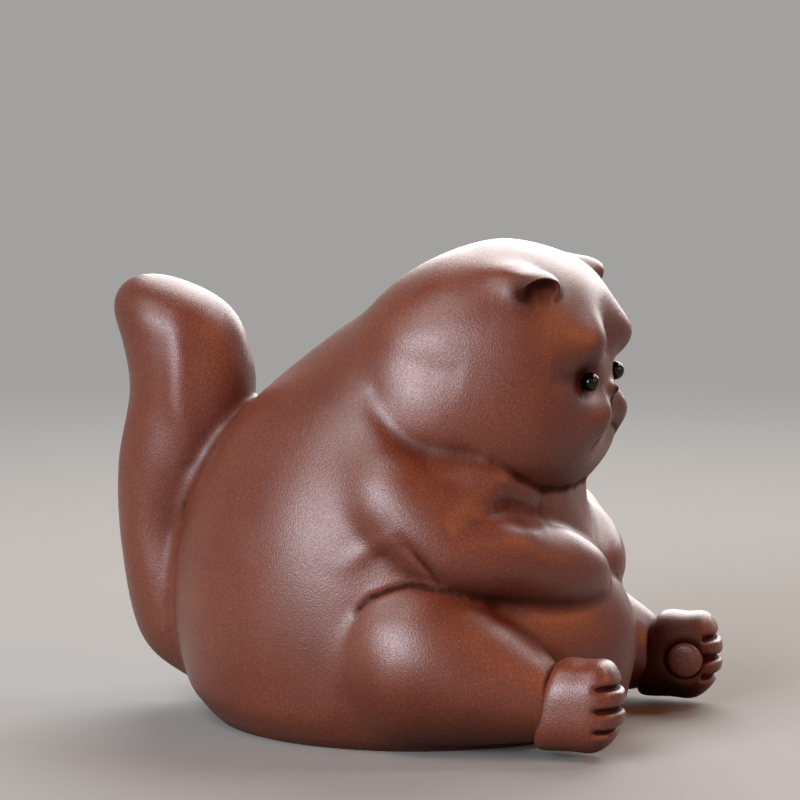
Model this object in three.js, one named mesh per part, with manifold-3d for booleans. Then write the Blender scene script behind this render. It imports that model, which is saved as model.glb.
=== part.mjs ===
// A seated fat cat in unglazed red stoneware: a small figure that sits on a tea tray.
// The potter makes it in pieces: a hollow torso closed by a vented base plate, and a head, ears, limbs
// and a tail that are luted on with slip. Two glass beads are set into the face for eyes.
// Units are millimetres, +Z is up, the cat faces -Y, and its right side is at -X.
import * as THREE from 'three';
import { mergeVertices } from 'three/addons/utils/BufferGeometryUtils.js';
import Module from 'manifold-3d';

const wasm = await Module();
wasm.setup();

// Driving dimensions of the torso and the plate that closes it
const TORSO_HEIGHT = 58;
const TORSO_HALF_WIDTH = 25.2;
const TORSO_HALF_DEPTH = 29;
const TORSO_WALL = 5.5;
const BELLY_SWELL = 4.6;
const BASE_THICKNESS = 4;
const VENT_RADIUS = 4;

// Driving dimensions of the head and what is set on it
const HEAD_HALF_WIDTH = 18.2;
const HEAD_HALF_LENGTH = 17.5;
const HEAD_HALF_HEIGHT = 16;
const HEAD_SQUARENESS = 2.5; // a flat crown and full cheeks
const HEAD_FORWARD = 10.5; // from the torso's axis to the middle of the head
const HEAD_SINK = 11; // the middle of the head lies this far below the top of the torso
const BROW_SWELL = 1.5;
const BROW_REACH = 3.8;
const MUZZLE_SPACING = 9.4;
const MUZZLE_SWELL = 1.5;
const MUZZLE_REACH = 3.2;
const CHIN_SAG = 1.8; // the chin hangs down over the chest
const CHIN_TUCK = 0.7; // and draws back under the mouth
const CHIN_REACH = 7;
const JOWL_SWELL = 0.6;
const JOWL_SAG = 0.8;
const JOWL_REACH = 6.5;
const NAPE_ROLL_SWELL = 1.4;
const NAPE_ROLL_SAG = 1.2;
const NAPE_ROLL_REACH = 8.5;
const EAR_WIDTH = 7;
const EAR_HEIGHT = 4;
const EAR_SCOOP = 2.7; // how deep the ear is hollowed
const EYE_RADIUS = 1.2;
const EYE_SPACING = 13.6;
const EYE_DROP = 1.2; // below the middle of the head
const EYE_STAND = 1; // the middle of the bead stands this far out of the face
const EYE_HOLLOW = 2; // how far the face is pressed in round an eye
const EYE_HOLLOW_REACH = 3.4;

// Driving dimensions of the limbs and the tail
const SHOULDER_HEIGHT = 33;
const SHOULDER_RADIUS = 7.5;
const ELBOW_HEIGHT = 26;
const FOREARM_RADIUS = 6.3;
const PAW_HEIGHT = 21;
const PAW_RADIUS = 5.2;
const THIGH_RADIUS = 10.8;
const ANKLE_RADIUS = 5;
const FEET_SPACING = 36;
const FOOT_LIFT = 1.1; // the toes are held just clear of the ground
const FOOT_LENGTH = 9.2;
const FOOT_HEIGHT = 11.4;
const FOOT_THICKNESS = 9;
const FOOT_SLANT = 0.25; // how far the foot leans forward for each step up
const TOE_COUNT = 4;
const TOE_LENGTH = 1; // beyond the foot
const TOE_SQUARENESS = 2.6;
const SOLE_PAD_RADIUS = 2.3;
const SOLE_PAD_RISE = 0.5;
const RIGHT_LEG_REACH = 24.5; // from the torso's axis forward to the ankle
const LEFT_LEG_REACH = 29.3;
const TAIL_HEIGHT = 57.4;
const TAIL_WIDTH = 16;
const TAIL_THICKNESS = 17.4;

// Clearances
const SLIP_JOINT = 0.3; // the slip between two luted pieces
const EYE_CLEARANCE = 0.2;

// How finely the forms are faceted, round and along
const BODY_FACETS = { slices: 40, stacks: 32 };
const HOLLOW_FACETS = { slices: 20, stacks: 14 };
const EAR_FACETS = { slices: 18, stacks: 12 };
const ARM_FACETS = { slices: 20, stacks: 18 };
const LEG_FACETS = { slices: 22, stacks: 18 };
const FOOT_FACETS = { slices: 16, stacks: 8 };
const TOE_FACETS = { slices: 8, stacks: 6 };
const TAIL_FACETS = { slices: 22, stacks: 26 };
const BEAD_FACETS = { slices: 14, stacks: 8 };
const SCOOP_FACETS = { slices: 16, stacks: 10 };
const VENT_FACETS = 32;

const FAR = 300; // longer than the figure in any direction
const RIGHT = -1;
const LEFT = 1;
const FORWARDS = new THREE.Vector3(0, -1, 0);
const BACKWARDS = new THREE.Vector3(0, 1, 0);
const UPWARDS = new THREE.Vector3(0, 0, 1);

const clay = new THREE.MeshStandardMaterial({ color: 0x8a5238, roughness: 0.5, metalness: 0 });
const paleClay = new THREE.MeshStandardMaterial({ color: 0x94603f, roughness: 0.6, metalness: 0 });
const blackGlass = new THREE.MeshStandardMaterial({ color: 0x060606, roughness: 0.08, metalness: 0 });

const point = (x, y, z) => new THREE.Vector3(x, y, z);
const sideways = () => point(1, 0, 0);
const upwards = () => point(0, 0, 1);
const outwards = (at) => point(at.x, at.y, 0);

// Keep only the positions, and share the vertices that coincide
function welded(geometry) {
  geometry.deleteAttribute('normal');
  geometry.deleteAttribute('uv');
  return mergeVertices(geometry, 1e-4);
}

const ball = (radius, { slices, stacks }) => welded(new THREE.SphereGeometry(radius, slices, stacks));

// How much further out than a circle a squared ring lies, in the direction of x and z
function fullness(x, z, squareness) {
  const radius = Math.hypot(x, z);
  if (radius < 1e-6) return 1;
  return (Math.abs(x / radius) ** squareness + Math.abs(z / radius) ** squareness) ** (-1 / squareness);
}

// A soft form strung on a spine. Each station is a point of the spine with the form's half sizes there.
// The first and the last station are the poles, where the form closes with a rounded end.
// The rings stand square to the spine, or to a fixed axis where one is given. Side gives the direction in
// which a station's width is laid off at a point of the spine. A squareness of 2 makes the rings ellipses,
// and more than 2 fills out their corners.
function sculpt({ stations, side, axis, squareness = 2, facets }) {
  const last = stations.length - 1;
  const girths = stations.map((_, index) => {
    const inner = THREE.MathUtils.clamp(index, 1, last - 1);
    const roundness = Math.sqrt(1 - (2 * inner / last - 1) ** 2);
    return point(stations[inner].wide / roundness, 0, stations[inner].deep / roundness);
  });
  const spine = new THREE.CatmullRomCurve3(stations.map(({ at }) => at), false, 'catmullrom');
  const girth = new THREE.CatmullRomCurve3(girths, false, 'catmullrom');
  const geometry = ball(1, facets);
  const position = geometry.getAttribute('position');
  const vertex = new THREE.Vector3();
  for (let i = 0; i < position.count; i++) {
    vertex.fromBufferAttribute(position, i);
    const share = THREE.MathUtils.clamp((1 + vertex.y) / 2, 0, 1);
    const middle = spine.getPoint(share);
    const along = axis ?? spine.getTangent(share);
    const across = side(middle).projectOnPlane(along).normalize();
    const through = across.clone().cross(along);
    const size = girth.getPoint(share).multiplyScalar(fullness(vertex.x, vertex.z, squareness));
    const { x, z } = vertex;
    vertex.copy(middle).addScaledVector(across, x * size.x).addScaledVector(through, z * size.z);
    position.setXYZ(i, vertex.x, vertex.y, vertex.z);
  }
  return geometry;
}

// Push the skin near a point, as a thumb does: fully at the point, and fading out over the reach
function dab(geometry, { at, reach, push }) {
  const position = geometry.getAttribute('position');
  const vertex = new THREE.Vector3();
  for (let i = 0; i < position.count; i++) {
    vertex.fromBufferAttribute(position, i);
    const distance = vertex.distanceTo(at) / reach;
    vertex.addScaledVector(push, Math.exp(-distance * distance));
    position.setXYZ(i, vertex.x, vertex.y, vertex.z);
  }
}

// The same form with its skin moved out by the gap
function grown(geometry, gap) {
  const larger = geometry.clone();
  larger.computeVertexNormals();
  const position = larger.getAttribute('position');
  const normal = larger.getAttribute('normal');
  for (let i = 0; i < position.count; i++) {
    position.setXYZ(
      i,
      position.getX(i) + gap * normal.getX(i),
      position.getY(i) + gap * normal.getY(i),
      position.getZ(i) + gap * normal.getZ(i),
    );
  }
  larger.deleteAttribute('normal');
  return larger;
}

// Where a line from inside a form leaves its skin, moved on along the line by lift
function onSkin(geometry, from, direction, lift = 0) {
  const skin = new THREE.Mesh(geometry, new THREE.MeshBasicMaterial({ side: THREE.DoubleSide }));
  const line = direction.clone().normalize();
  const hits = new THREE.Raycaster(from, line).intersectObject(skin);
  return hits[hits.length - 1].point.clone().addScaledVector(line, lift);
}

function solidOf(geometry) {
  return new wasm.Manifold(new wasm.Mesh({
    numProp: 3,
    vertProperties: new Float32Array(geometry.getAttribute('position').array),
    triVerts: new Uint32Array(geometry.index.array),
  }));
}

function geometryOf(solid) {
  const { vertProperties, triVerts } = solid.getMesh();
  const geometry = new THREE.BufferGeometry();
  geometry.setAttribute('position', new THREE.BufferAttribute(vertProperties, 3));
  geometry.setIndex(new THREE.BufferAttribute(triVerts, 1));
  return geometry;
}

function mesh(name, solid, material) {
  const geometry = geometryOf(solid);
  geometry.computeVertexNormals();
  const piece = new THREE.Mesh(geometry, material);
  piece.name = name;
  return piece;
}

function block(centre, width, depth, height) {
  const geometry = welded(new THREE.BoxGeometry(width, depth, height));
  return solidOf(geometry.translate(centre.x, centre.y, centre.z));
}

const ground = block(point(0, 0, -FAR / 2), FAR, FAR, FAR);

// The torso: a fat pear whose top leans forward into the head. An inset draws the form inside its wall.
function torsoForm(inset, facets) {
  const station = (height, lean, width, depth) => ({
    at: point(0, lean * TORSO_HALF_DEPTH, height * TORSO_HEIGHT),
    wide: width * TORSO_HALF_WIDTH - inset,
    deep: depth * TORSO_HALF_DEPTH - inset,
  });
  const stations = [
    station(-0.3, 0, 0, 0),
    station(0, -0.01, 0.87, 0.85),
    station(0.1, 0.025, 0.97, 0.955),
    station(0.24, 0.05, 1, 0.98),
    station(0.4, 0.075, 0.98, 0.925),
    station(0.55, 0.035, 0.92, 0.87),
    station(0.7, -0.035, 0.8, 0.73),
    station(0.86, -0.17, 0.6, 0.49),
    station(1, -0.31, 0, 0),
  ];
  stations[stations.length - 1].at.z -= inset;
  return sculpt({ stations, side: sideways, axis: UPWARDS, facets });
}

const torso = torsoForm(0, BODY_FACETS);
const belly = onSkin(torso, point(0, 0, 0.21 * TORSO_HEIGHT), FORWARDS);
dab(torso, { at: belly, reach: 0.5 * TORSO_HALF_DEPTH, push: point(0, -BELLY_SWELL, 0) });
const torsoRoom = solidOf(grown(torso, SLIP_JOINT));
const hollow = solidOf(torsoForm(TORSO_WALL, HOLLOW_FACETS));
const torsoSolid = solidOf(torso).subtract(ground).subtract(hollow);

// The base plate closes the hollow from below, with a vent for the kiln's heat
function baseSolid() {
  const vent = new THREE.CylinderGeometry(VENT_RADIUS, VENT_RADIUS, 4 * BASE_THICKNESS, VENT_FACETS);
  const slab = block(point(0, 0, BASE_THICKNESS / 2), FAR, FAR, BASE_THICKNESS);
  return solidOf(torsoForm(TORSO_WALL + SLIP_JOINT, HOLLOW_FACETS))
    .intersect(slab)
    .subtract(solidOf(welded(vent.rotateX(Math.PI / 2))));
}

// The head: broad and round, with a flat face at the front pole
const headMiddle = point(0, -HEAD_FORWARD, TORSO_HEIGHT - HEAD_SINK);

function headForm() {
  const station = (along, rise, width, height) => ({
    at: point(0, headMiddle.y + along * HEAD_HALF_LENGTH, headMiddle.z + rise * HEAD_HALF_HEIGHT),
    wide: width * HEAD_HALF_WIDTH,
    deep: height * HEAD_HALF_HEIGHT,
  });
  const stations = [
    station(-1, -0.1, 0, 0),
    station(-0.92, -0.08, 0.6, 0.7),
    station(-0.66, -0.05, 0.87, 0.925),
    station(-0.14, 0, 1, 1),
    station(0.37, -0.09, 1, 0.9),
    station(0.72, -0.12, 0.8, 0.62),
    station(1, -0.2, 0, 0),
  ];
  return sculpt({
    stations,
    side: sideways,
    axis: BACKWARDS,
    squareness: HEAD_SQUARENESS,
    facets: BODY_FACETS,
  });
}

const head = headForm();
const onFace = (x, rise) => onSkin(head, point(x, headMiddle.y, headMiddle.z + rise), FORWARDS);

// The swellings and hollows of the face, placed across it and above the middle of the head
function modelFace() {
  const mark = (x, rise, reach, swell) => ({ at: onFace(x, rise), reach, push: point(0, -swell, 0) });
  const browRise = 0.22 * HEAD_HALF_HEIGHT;
  const muzzleRise = -0.3 * HEAD_HALF_HEIGHT;
  const chin = onSkin(head, headMiddle, point(0, -0.7, -1));
  const marks = [
    mark(0, browRise, 0.7 * BROW_REACH, -0.3 * BROW_SWELL),
    { at: chin, reach: CHIN_REACH, push: point(0, CHIN_TUCK, -CHIN_SAG) },
  ];
  for (const hand of [RIGHT, LEFT]) {
    const jowl = onSkin(head, headMiddle, point(hand, -0.75, -1));
    const nape = onSkin(head, headMiddle, point(hand, 0.1, -0.55));
    const jowlPush = point(hand * JOWL_SWELL, 0, -JOWL_SAG);
    const napePush = point(hand * NAPE_ROLL_SWELL, 0, -NAPE_ROLL_SAG);
    marks.push({ at: jowl, reach: JOWL_REACH, push: jowlPush });
    marks.push({ at: nape, reach: NAPE_ROLL_REACH, push: napePush });
    marks.push(mark(hand * EYE_SPACING / 2, browRise, BROW_REACH, BROW_SWELL));
    marks.push(mark(hand * EYE_SPACING / 2, -EYE_DROP, EYE_HOLLOW_REACH, -EYE_HOLLOW));
    marks.push(mark(hand * MUZZLE_SPACING / 2, muzzleRise, MUZZLE_REACH, MUZZLE_SWELL));
  }
  marks.forEach((each) => dab(head, each));
}

modelFace();
const headRoom = solidOf(grown(head, SLIP_JOINT));

// An eye is a bead set into a socket of the face
function eyeForm(hand, clearance) {
  const seat = onFace(hand * EYE_SPACING / 2, -EYE_DROP).addScaledVector(FORWARDS, EYE_STAND);
  return ball(EYE_RADIUS + clearance, BEAD_FACETS).translate(seat.x, seat.y, seat.z);
}

// An ear is a low peak along the corner of the crown, and it stands clear of the head at the front
function earEnds(hand) {
  const towards = (across, forward, rise) => point(
    hand * across * HEAD_HALF_WIDTH,
    -forward * HEAD_HALF_LENGTH,
    rise * HEAD_HALF_HEIGHT,
  );
  return {
    front: onSkin(head, headMiddle, towards(0.63, 0.6, 0.62), 0.25 * EAR_HEIGHT),
    rear: onSkin(head, headMiddle, towards(0.38, 0.1, 0.85), -0.4 * EAR_HEIGHT),
  };
}

function earForm(hand) {
  const { front, rear } = earEnds(hand);
  const station = (share, width, height) => ({
    at: front.clone().lerp(rear, share),
    wide: width * EAR_WIDTH / 2,
    deep: height * EAR_HEIGHT / 2,
  });
  const stations = [
    station(-0.2, 0, 0),
    station(0, 0.95, 0.95),
    station(0.25, 1, 1),
    station(0.6, 0.85, 0.85),
    station(1, 0, 0),
  ];
  const edge = point(0, 0, 1).cross(rear.clone().sub(front));
  return sculpt({ stations, side: () => edge.clone(), facets: EAR_FACETS });
}

// The hollow of an ear is scooped out from under its outer side, and out of the head just below it
function earScoopForm(hand) {
  const { front } = earEnds(hand);
  const facing = point(hand * 0.7, -0.7, -0.15).normalize();
  const edge = facing.clone().cross(UPWARDS).normalize();
  const rise = edge.clone().cross(facing);
  const middle = front.clone()
    .addScaledVector(facing, 0.36 * EAR_WIDTH)
    .addScaledVector(rise, -0.12 * EAR_HEIGHT);
  const place = new THREE.Matrix4().makeBasis(edge, facing, rise).setPosition(middle);
  return ball(1, SCOOP_FACETS)
    .scale(0.5 * EAR_WIDTH, EAR_SCOOP, 0.56 * EAR_HEIGHT)
    .applyMatrix4(place);
}

// An arm hangs from the flank and lies across the belly, with its paw at the middle.
// Each station lies so many degrees round from the side to the front, and sinks into the torso's skin.
function armForm(hand) {
  const station = (height, degrees, sink, radius) => {
    const turn = THREE.MathUtils.degToRad(degrees);
    const towards = point(hand * Math.cos(turn), -Math.sin(turn), 0);
    const at = onSkin(torso, point(0, 0, height), towards, -sink * radius);
    return { at, wide: 0.92 * radius, deep: radius };
  };
  const stations = [
    station(SHOULDER_HEIGHT + SHOULDER_RADIUS, 0, 0.9, SHOULDER_RADIUS),
    station(SHOULDER_HEIGHT, 11, 0.7, SHOULDER_RADIUS),
    station(ELBOW_HEIGHT, 32, 0.35, FOREARM_RADIUS),
    station(0.7 * ELBOW_HEIGHT + 0.3 * PAW_HEIGHT, 53, 0.25, FOREARM_RADIUS),
    station(PAW_HEIGHT, 78, 0.5, PAW_RADIUS),
    station(PAW_HEIGHT, 94, 0.5, PAW_RADIUS),
  ];
  return sculpt({ stations, side: outwards, facets: ARM_FACETS });
}

// A leg lies forward along the ground from the hip to the ankle
function legForm(hand, legReach) {
  const flank = onSkin(torso, point(0, 0, THIGH_RADIUS), point(hand, 0, 0));
  const thighX = flank.x - hand * 0.7 * THIGH_RADIUS;
  const ankle = point(hand * FEET_SPACING / 2, -legReach, FOOT_LIFT + FOOT_HEIGHT / 2);
  const thigh = (forward, rise, height, thickness) => ({
    at: point(thighX, -forward * legReach, rise * THIGH_RADIUS),
    wide: height * THIGH_RADIUS,
    deep: thickness * THIGH_RADIUS,
  });
  const stations = [
    thigh(-0.22, 1, 0, 0),
    thigh(0.24, 1.1, 1.12, 0.94),
    thigh(0.68, 0.83, 0.8, 0.8),
    { at: ankle, wide: ANKLE_RADIUS, deep: ANKLE_RADIUS },
    { at: ankle.clone().addScaledVector(FORWARDS, 0.4 * ANKLE_RADIUS) },
  ];
  return sculpt({ stations, side: upwards, facets: LEG_FACETS });
}

const footMiddle = (hand, legReach) => point(
  hand * FEET_SPACING / 2,
  -legReach - FOOT_LENGTH / 2,
  FOOT_LIFT + FOOT_HEIGHT / 2,
);

// A foot is set on the ankle with its sole turned inwards, and its toes lie one above the other
function footForms(middle) {
  const station = (forward, height, thickness) => ({
    at: point(0, -forward * FOOT_LENGTH, 0),
    wide: height * FOOT_HEIGHT / 2,
    deep: thickness * FOOT_THICKNESS / 2,
  });
  const stations = [
    station(-0.5, 0, 0),
    station(-0.38, 0.94, 0.92),
    station(0, 1, 1),
    station(0.32, 0.96, 0.86),
    station(0.5, 0, 0),
  ];
  const body = sculpt({ stations, side: upwards, facets: FOOT_FACETS });
  body.applyMatrix4(new THREE.Matrix4().makeShear(0, 0, 0, 0, 0, -FOOT_SLANT));
  const forms = [body];
  for (let toe = 0; toe < TOE_COUNT; toe++) {
    const rise = ((toe + 0.5) / TOE_COUNT - 0.5) * FOOT_HEIGHT;
    const shortening = (2 * rise / FOOT_HEIGHT) ** 2;
    forms.push(toeForm(rise, TOE_LENGTH * (1 - 0.35 * shortening)));
  }
  return forms.map((form) => form.translate(middle.x, middle.y, middle.z));
}

function toeForm(rise, length) {
  const root = point(0, -0.2 * FOOT_LENGTH, rise);
  const tip = point(0, -FOOT_LENGTH / 2 - length, rise);
  const station = (share, thickness) => ({
    at: root.clone().lerp(tip, share),
    wide: 0.54 * FOOT_HEIGHT / TOE_COUNT,
    deep: thickness * FOOT_THICKNESS / 2,
  });
  const stations = [station(0, 0), station(0.3, 0.8), station(0.8, 0.72), station(1, 0)];
  return sculpt({ stations, side: upwards, squareness: TOE_SQUARENESS, facets: TOE_FACETS });
}

// The pad is a low button set into the sole
function solePadForm(hand, middle, clearance) {
  const sole = point(middle.x - hand * FOOT_THICKNESS / 2, middle.y - 0.15 * FOOT_LENGTH, middle.z);
  const halfDepth = 0.5 * SOLE_PAD_RADIUS;
  return ball(1, FOOT_FACETS)
    .scale(halfDepth + clearance, SOLE_PAD_RADIUS + clearance, SOLE_PAD_RADIUS + clearance)
    .translate(sole.x + hand * (halfDepth - SOLE_PAD_RISE), sole.y, sole.z);
}

// The tail is a thick plume that rises behind the back and leans on it at its fattest
function tailForm() {
  const rump = onSkin(torso, point(0, 0, 0.25 * TORSO_HEIGHT), BACKWARDS);
  const station = (height, out, girth) => ({
    at: point(0, rump.y + out * TAIL_THICKNESS, height * TAIL_HEIGHT),
    wide: girth * TAIL_WIDTH / 2,
    deep: girth * TAIL_THICKNESS / 2,
  });
  const stations = [
    station(0.04, -0.2, 0),
    station(0.15, 0.02, 0.64),
    station(0.37, 0.1, 0.8),
    station(0.56, 0.05, 0.93),
    station(0.73, -0.07, 0.97),
    station(0.84, -0.02, 0.97),
    station(0.93, 0.1, 0.88),
    station(1, 0.26, 0),
  ];
  return sculpt({ stations, side: sideways, axis: UPWARDS, facets: TAIL_FACETS });
}

const figure = new THREE.Group();
let headSolid = solidOf(head).subtract(torsoRoom);
const sides = [[RIGHT, 'right', RIGHT_LEG_REACH], [LEFT, 'left', LEFT_LEG_REACH]];
for (const [hand, name, legReach] of sides) {
  const earScoop = solidOf(earScoopForm(hand));
  headSolid = headSolid.subtract(solidOf(eyeForm(hand, EYE_CLEARANCE))).subtract(earScoop);
  figure.add(mesh(`eye_${name}`, solidOf(eyeForm(hand, 0)), blackGlass));
  figure.add(mesh(`ear_${name}`, solidOf(earForm(hand)).subtract(headRoom).subtract(earScoop), clay));

  const arm = armForm(hand);
  const otherHalf = block(point(-hand * (FAR - SLIP_JOINT) / 2, 0, 0), FAR, FAR, FAR);
  const armSolid = solidOf(arm).subtract(torsoRoom).subtract(headRoom).subtract(otherHalf);
  figure.add(mesh(`arm_${name}`, armSolid, clay));

  const leg = legForm(hand, legReach);
  const armRoom = solidOf(grown(arm, SLIP_JOINT));
  const legSolid = solidOf(leg).subtract(torsoRoom).subtract(armRoom).subtract(ground);
  figure.add(mesh(`leg_${name}`, legSolid, clay));

  const middle = footMiddle(hand, legReach);
  const footSolid = footForms(middle).map(solidOf).reduce((whole, form) => whole.add(form))
    .subtract(solidOf(grown(leg, SLIP_JOINT)))
    .subtract(torsoRoom)
    .subtract(ground)
    .subtract(solidOf(solePadForm(hand, middle, SLIP_JOINT)));
  figure.add(mesh(`foot_${name}`, footSolid, clay));
  figure.add(mesh(`sole_pad_${name}`, solidOf(solePadForm(hand, middle, 0)), paleClay));
}
figure.add(mesh('head', headSolid, clay));
figure.add(mesh('torso', torsoSolid, clay));
figure.add(mesh('base_plate', baseSolid(), paleClay));
figure.add(mesh('tail', solidOf(tailForm()).subtract(torsoRoom).subtract(ground), clay));

// Stand the figure with the middle of its footprint at the origin
const bounds = new THREE.Box3().setFromObject(figure);
const footprint = bounds.getCenter(new THREE.Vector3());
figure.position.set(-footprint.x, -footprint.y, -bounds.min.z);

export default figure;
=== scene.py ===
"""A seated stoneware cat for the tea tray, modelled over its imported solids.

The clay forms are strung on the spines and sizes of the solids, blended into one skin, worked with
a thumb and a tool, and cut apart again at the luted joints, so that each piece replaces its own
solid. The forms are worked in millimetres, with +Z up, the cat facing -Y and its right side at -X.
A finished piece is brought to metres.
"""
import math

import bmesh
import bpy
import numpy as np
from mathutils import Matrix, Vector
from mathutils.bvhtree import BVHTree
from mathutils.kdtree import KDTree


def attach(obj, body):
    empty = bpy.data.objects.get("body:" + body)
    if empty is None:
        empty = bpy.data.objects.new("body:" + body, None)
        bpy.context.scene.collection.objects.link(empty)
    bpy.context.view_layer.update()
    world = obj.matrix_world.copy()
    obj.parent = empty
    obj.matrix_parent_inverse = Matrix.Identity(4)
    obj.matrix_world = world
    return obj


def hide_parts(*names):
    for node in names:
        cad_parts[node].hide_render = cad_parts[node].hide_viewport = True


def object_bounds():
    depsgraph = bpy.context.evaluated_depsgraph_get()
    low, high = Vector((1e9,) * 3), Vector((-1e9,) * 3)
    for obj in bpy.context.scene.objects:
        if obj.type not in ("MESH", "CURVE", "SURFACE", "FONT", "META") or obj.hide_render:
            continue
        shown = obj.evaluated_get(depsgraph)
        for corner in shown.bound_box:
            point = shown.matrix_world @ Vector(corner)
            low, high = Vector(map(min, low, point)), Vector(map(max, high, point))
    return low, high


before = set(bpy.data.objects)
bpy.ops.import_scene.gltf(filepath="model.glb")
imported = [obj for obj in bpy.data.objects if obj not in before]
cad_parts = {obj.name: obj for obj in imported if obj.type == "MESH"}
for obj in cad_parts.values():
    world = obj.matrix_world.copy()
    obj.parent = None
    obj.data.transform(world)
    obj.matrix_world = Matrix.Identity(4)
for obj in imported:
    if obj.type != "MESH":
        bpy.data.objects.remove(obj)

solid_low, solid_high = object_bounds()

MM = 0.001  # a millimetre in metres

# The torso and the plate that closes it
TORSO_HEIGHT = 58.0
TORSO_HALF_WIDTH = 25.2
TORSO_HALF_DEPTH = 29.0
TORSO_WALL = 5.5
BELLY_SWELL = 4.6
BASE_THICKNESS = 4.0
BASE_EDGE = 0.4
BASE_EDGE_LEAN = 0.03
VENT_RADIUS = 4.0
SLIP_JOINT = 0.3

# The head and what is set on it
HEAD_HALF_WIDTH = 18.2
HEAD_HALF_LENGTH = 17.5
HEAD_HALF_HEIGHT = 16.0
HEAD_SQUARENESS = 2.5
HEAD_FORWARD = 10.5
HEAD_SINK = 11.0
HEAD_MIDDLE = np.array((0, -HEAD_FORWARD, TORSO_HEIGHT - HEAD_SINK))
BROW_SWELL = 1.5
BROW_REACH = 3.8
MUZZLE_SPACING = 9.4
MUZZLE_SWELL = 1.5
MUZZLE_REACH = 3.2
CHIN_SAG = 1.8
CHIN_TUCK = 0.7
CHIN_REACH = 7.0
JOWL_SWELL = 0.6
JOWL_SAG = 0.8
JOWL_REACH = 6.5
NAPE_ROLL_SWELL = 1.4
NAPE_ROLL_SAG = 1.2
NAPE_ROLL_REACH = 8.5
EAR_WIDTH = 7.0
EAR_HEIGHT = 4.0
EAR_SCOOP = 2.7
EYE_RADIUS = 1.2
EYE_SPACING = 13.6
EYE_DROP = 1.2
EYE_STAND = 1.0
EYE_HOLLOW = 2.0
EYE_HOLLOW_REACH = 3.4
EYE_SOCKET_GAP = 0.12
BEAD_ROUND = 140  # degrees from the bead's front to the edge of its ground back
BEAD_STEPS = 36
BEAD_BEVEL = 0.06
BEAD_FLAT = 0.88

# The limbs and the tail
SHOULDER_HEIGHT = 33.0
SHOULDER_RADIUS = 7.5
ELBOW_HEIGHT = 26.0
FOREARM_RADIUS = 6.3
PAW_HEIGHT = 21.0
PAW_RADIUS = 5.2
THIGH_RADIUS = 10.8
ANKLE_RADIUS = 5.0
ANKLE_SINK = 0.25  # how far the foot goes into the ankle
FEET_SPACING = 36.0
FOOT_LIFT = 1.1
FOOT_LENGTH = 9.2
FOOT_HEIGHT = 11.4
FOOT_THICKNESS = 9.0
FOOT_SQUARENESS = 2.7
FOOT_SLANT = 0.25
TOE_COUNT = 4
TOE_LENGTH = 1.0
TOE_NOTCH_WIDTH = 0.42
TOE_NOTCH_DEPTH = 1.0
LOW_TOE_TUCK = 0.9
SOLE_PAD_RADIUS = 2.3
SOLE_PAD_RISE = 0.5
SOLE_PAD_DEPTH = 1.0
SOLE_PAD_GAP = 0.15
SOLE_PAD_FORWARD = 0.15 * FOOT_LENGTH
PAD_RING_WIDTH = 0.7
PAD_RING_DEPTH = 0.45
RIGHT_LEG_REACH = 24.5
LEFT_LEG_REACH = 29.3
TAIL_HEIGHT = 57.4
TAIL_WIDTH = 16.0
TAIL_THICKNESS = 17.4

# How finely the clay is worked
SKIN_GRAIN = 0.36  # the skin's mesh width
FOOT_GRAIN = 0.18
SMOOTH_EDGE = math.radians(50)
TOOL_STEPS = 80
FAR = 300.0

HANDS = {"right": -1, "left": 1}
LEG_REACH = {"right": RIGHT_LEG_REACH, "left": LEFT_LEG_REACH}
SIDEWAYS = np.array((1.0, 0.0, 0.0))
FORWARDS = np.array((0.0, -1.0, 0.0))
BACKWARDS = -FORWARDS
UPWARDS = np.array((0.0, 0.0, 1.0))


def both_sides(*places):
    """The places, each a spot written for the left side and a reach, on both sides of the cat."""
    return [((hand * x, y, z), reach) for hand in HANDS.values() for (x, y, z), reach in places]


def mirrored(spots):
    """A line of spots, written for the left side, on each side of the cat."""
    return [[(hand * x, y, z) for x, y, z in spots] for hand in HANDS.values()]


# Where the slip is wiped smooth over a joint: shoulder, haunch, nape, back of the ears, under the
# jowl and the chin and over the thigh, and on the middle line the nape, the tail root and the chin
WIPED = both_sides(
    ((23, 2, 36), 8),
    ((20, -11.5, 34), 3),
    ((25, 3, 9), 6.5),
    ((25, -2, 3), 6),
    ((12, 5, 47), 7),
    ((16, 1.5, 49), 4),
    ((9, -15, 61.5), 3.5),
    ((12, -20, 60), 1.5),
    ((13.5, -14.5, 59.5), 3),
    ((15.3, -17.6, 57.8), 2.4),
    ((15.4, -17.6, 35.2), 1.8),
    ((11.8, -20.5, 33), 2.2),
    ((8, -23, 32.2), 2.2),
    ((4, -24.4, 32), 2.2),
    ((23.6, -5.6, 22), 3),
    ((19, -10.8, 37.8), 2),
) + [((0, 5, 52), 8), ((0, 30, 5), 6), ((0, -24.7, 32), 2.2)]

# Where the fold under the jowl is left as sharp as it came
KEPT = both_sides(
    ((18.7, -1.5, 43.8), 2.5),
    ((19.6, -3.8, 41.3), 3),
    ((19.8, -7.5, 38.7), 2.5),
)

# How hollow a crease is, for each millimetre, where the slip fills it or the tool deepens it fully
FILLED_CREASE = 0.3
TAIL_CREASE = 0.15
TOOLED_CREASE = 0.35
CREASE_DEPTH = 0.3
TAIL_SIDE = 14.0  # behind this the fold round the tail is filled with more slip

# The narrow folds between the arm, the flank and the thigh, and how near to them the mesh is finer
FOLDS = both_sides(
    ((24.5, -2.5, 19), 2.5),
    ((24, -6, 21), 3),
    ((23.5, -9.5, 23), 3.5),
    ((22, -14, 20), 2.5),
)
FOLD_FINE = 0.4
FOLD_EASED = 0.2

# The face, which has a finer mesh too
FACE_DEPTH = -17.0
FACE_BOTTOM = 29.0
FACE_TOP = 62.0
FACE_MARGIN = 1.0

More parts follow.
